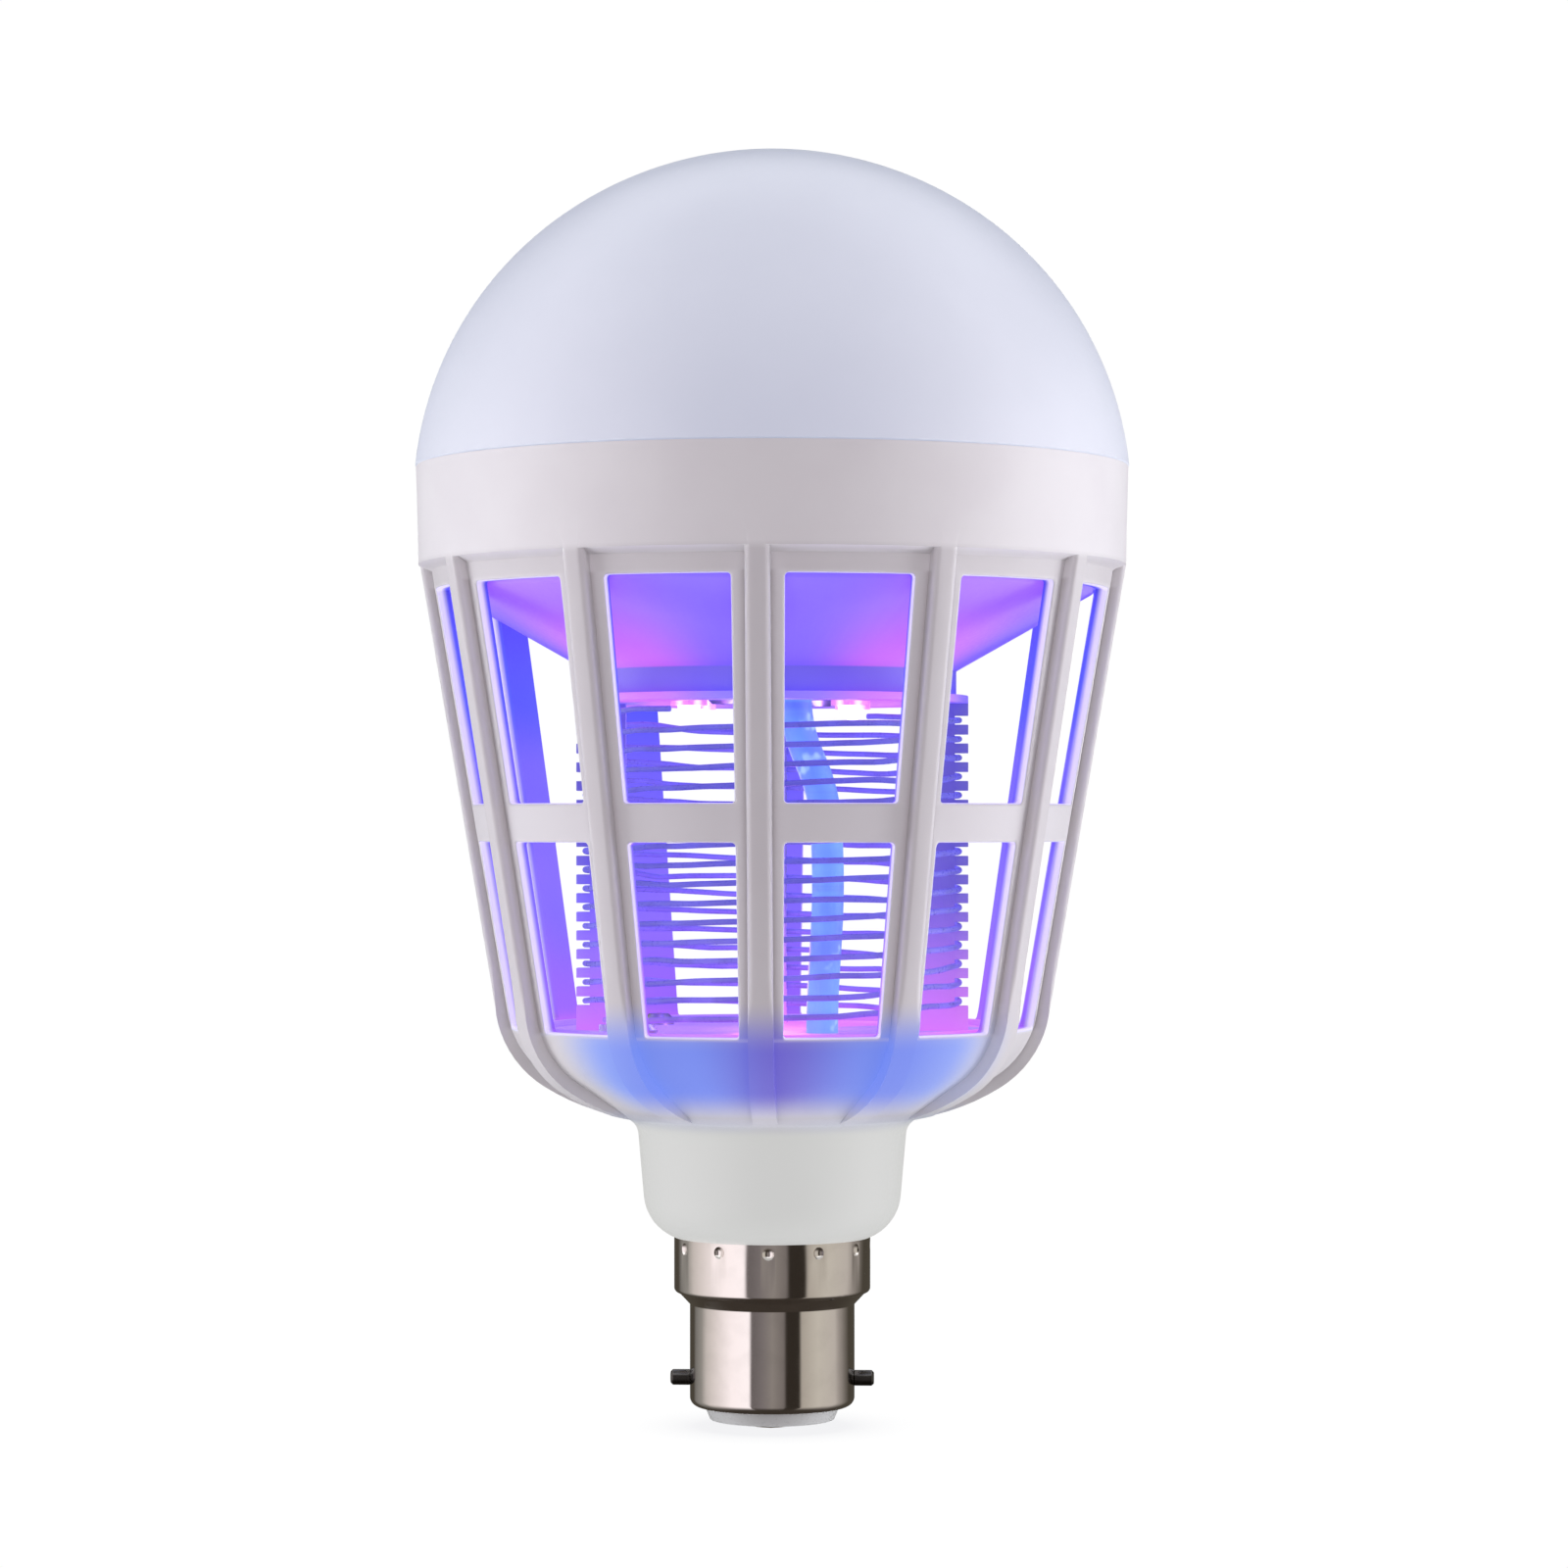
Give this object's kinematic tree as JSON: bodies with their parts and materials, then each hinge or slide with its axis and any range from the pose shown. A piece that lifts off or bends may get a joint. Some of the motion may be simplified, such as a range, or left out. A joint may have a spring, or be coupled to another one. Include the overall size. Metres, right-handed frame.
{
  "type": "insect killer light bulb",
  "caption": "Domed bayonet-cap lamp over a ribbed, windowed cage with two coiled grid wires and small lure lamps inside.",
  "frame": {"origin": "on the bulb's axis at the lowest point of the contact end", "axes": "+Z along the axis from the cap's contacts to the top of the dome, X through the two bayonet pins, Y through the two contacts"},
  "size_m": [0.0952, 0.0952, 0.1699],
  "materials": {
    "nickel_cap": "polished plated sheet",
    "nickel_pins": "plated, satin",
    "insulator": "moulded, semi gloss",
    "contact_brass": "satin",
    "solder": "bright, slightly grainy",
    "white_housing": "moulded, fine satin",
    "former_plastic": "moulded, satin",
    "screw_steel": "zinc plated",
    "grid_wire": "drawn wire",
    "white_reflector": "moulded, semi gloss",
    "uv_board_white": "white solder mask",
    "uv_lamp": "clear lens on a white body",
    "heat_sink": "pressed, satin",
    "lamp_board": "metal core under white solder mask",
    "white_lamp": "white body with a phosphor face",
    "milky_diffuser": "milky, smooth satin",
    "sleeve": "soft sleeve",
    "lead_red": "insulated lead",
    "lead_brown": "insulated lead",
    "lead_white": "insulated lead",
    "board_green": "solder mask on laminate",
    "capacitor_can": "sleeved can",
    "film_box": "moulded box",
    "inductor": "ferrite and lacquered wire",
    "chip_black": "moulded package",
    "resistor_black": "glazed chip",
    "fuse_body": "lacquered",
    "diode_black": "moulded package",
    "disc_blue": "lacquered disc"
  },
  "bodies": {
    "root": {"cap_shell": "nickel_cap", "bayonet_pins": "nickel_pins", "cap_insulator": "insulator", "contact_plates": "contact_brass", "contact_solder": "solder", "cage_housing": "white_housing", "grid_base": "former_plastic", "comb_posts": "former_plastic", "post_ring": "former_plastic", "base_screws": "screw_steel", "grid_wire_live": "grid_wire", "grid_wire_return": "grid_wire", "reflector_funnel": "white_reflector", "uv_led_board": "uv_board_white", "uv_leds": "uv_lamp", "uv_board_screws": "screw_steel", "heat_sink_dish": "heat_sink", "led_board": "lamp_board", "white_leds": "white_lamp", "led_board_screws": "screw_steel", "diffuser_dome": "milky_diffuser", "lead_sleeve": "sleeve", "led_leads": "lead_red", "supply_leads": "lead_brown", "grid_leads": "lead_white", "driver_board": "board_green", "smoothing_capacitor": "capacitor_can", "film_capacitor": "film_box", "drum_inductor": "inductor", "bridge_rectifier": "chip_black", "driver_chip": "chip_black", "chip_resistors": "resistor_black", "fuse_resistor": "fuse_body", "multiplier_diodes": "diode_black", "multiplier_capacitors": "disc_blue"}
  },
  "joints": []
}
